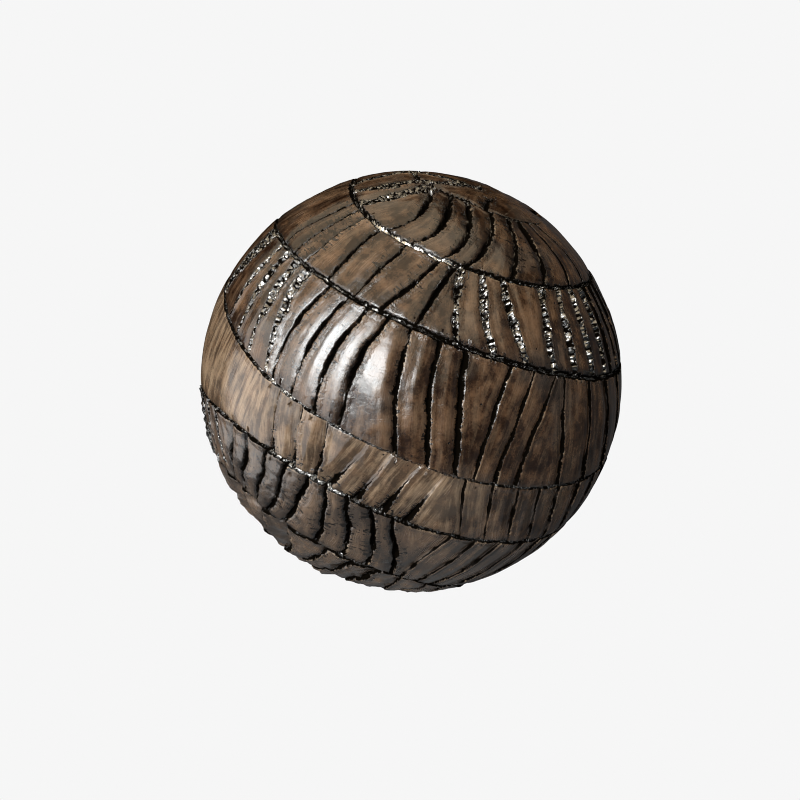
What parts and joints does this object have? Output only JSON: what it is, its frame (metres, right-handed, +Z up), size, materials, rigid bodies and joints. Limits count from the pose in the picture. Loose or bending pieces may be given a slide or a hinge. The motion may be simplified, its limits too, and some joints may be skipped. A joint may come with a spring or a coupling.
{
  "type": "decorative sphere",
  "caption": "Tabletop ball cast with a winding groove and fans of short curved cuts, like lapped leaves, with a small flat to stand on.",
  "frame": {"origin": "centre of the small flat that the ball stands on, straight under the ball's centre", "axes": "+Z up from the flat through the ball's centre; the groove winds round an axis that leans from +Z towards +X; -Y faces the viewer"},
  "size_m": [0.0997, 0.0993, 0.0986],
  "materials": {
    "varnished_brown": "cast resin painted dark brown, dry-brushed tan over the raised leaves and black in the cuts, under a glossy varnish"
  },
  "bodies": {
    "root": {"carved_ball": "varnished_brown"}
  },
  "joints": []
}
